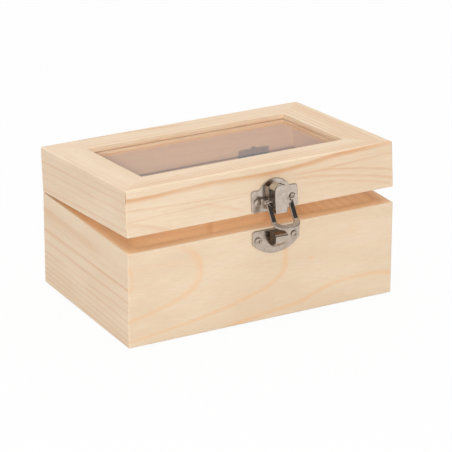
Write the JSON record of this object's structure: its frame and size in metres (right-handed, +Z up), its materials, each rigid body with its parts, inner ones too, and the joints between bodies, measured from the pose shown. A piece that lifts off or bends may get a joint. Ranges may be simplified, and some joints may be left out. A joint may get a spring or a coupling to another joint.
{
  "type": "wooden display box with glazed hinged lid",
  "caption": "Small pine box with a glazed lid on two hinges and a nickel toggle latch with a hanging bail at the front.",
  "frame": {"origin": "centre of the underside of the base", "axes": "+X to the right as seen from the latch side, +Y to the back where the hinges are, +Z up"},
  "size_m": [0.16, 0.123, 0.0866],
  "materials": {
    "pine": "bare, sanded",
    "plywood": "bare, sanded",
    "window_glass": "clear",
    "nickel": "nickel plated, polished",
    "hinge_steel": "plated, satin"
  },
  "bodies": {
    "base": {"base_front_board": "pine", "base_back_board": "pine", "base_left_board": "pine", "base_right_board": "pine", "base_bottom_panel": "plywood", "hinge_left_base_leaf": "hinge_steel", "hinge_right_base_leaf": "hinge_steel", "hinge_left_pin": "hinge_steel", "hinge_right_pin": "hinge_steel", "hinge_base_screws": "hinge_steel", "strike_plate": "nickel", "strike_plate_screws": "nickel"},
    "lid": {"lid_front_rail": "pine", "lid_back_rail": "pine", "lid_left_rail": "pine", "lid_right_rail": "pine", "glass_pane": "window_glass", "hinge_left_lid_leaf": "hinge_steel", "hinge_right_lid_leaf": "hinge_steel", "hinge_lid_screws": "hinge_steel", "latch_plate": "nickel", "latch_plate_screws": "nickel", "lever_pin": "nickel"},
    "lever": {"latch_lever": "nickel"},
    "bail_pin": {"bail_pin": "nickel"},
    "bail": {"latch_bail": "nickel"}
  },
  "joints": [
    {"name": "lid_hinge", "type": "hinge", "parent": "base", "child": "lid", "pos_m": [0, 0.0531, 0.05275], "axis": [-1, 0, 0], "range_deg": [-4.7, 90.3]},
    {"name": "lever_hinge", "type": "hinge", "parent": "lid", "child": "lever", "pos_m": [0.0065, -0.05409, 0.06462], "axis": [1, 0, 0], "range_deg": [0, 85]},
    {"name": "bail_pin_turn", "type": "hinge", "parent": "lever", "child": "bail_pin", "pos_m": [0.0065, -0.05556, 0.06866], "axis": [-1, 0, 0], "range_deg": [0, 85]},
    {"name": "bail_swing", "type": "hinge", "parent": "bail_pin", "child": "bail", "pos_m": [0.0065, -0.05556, 0.06866], "axis": [-1, 0, 0], "range_deg": [-24, 150]}
  ],
  "couplings": [
    {"joint": "bail_pin_turn", "follows": "lever_hinge", "ratio": 1}
  ]
}
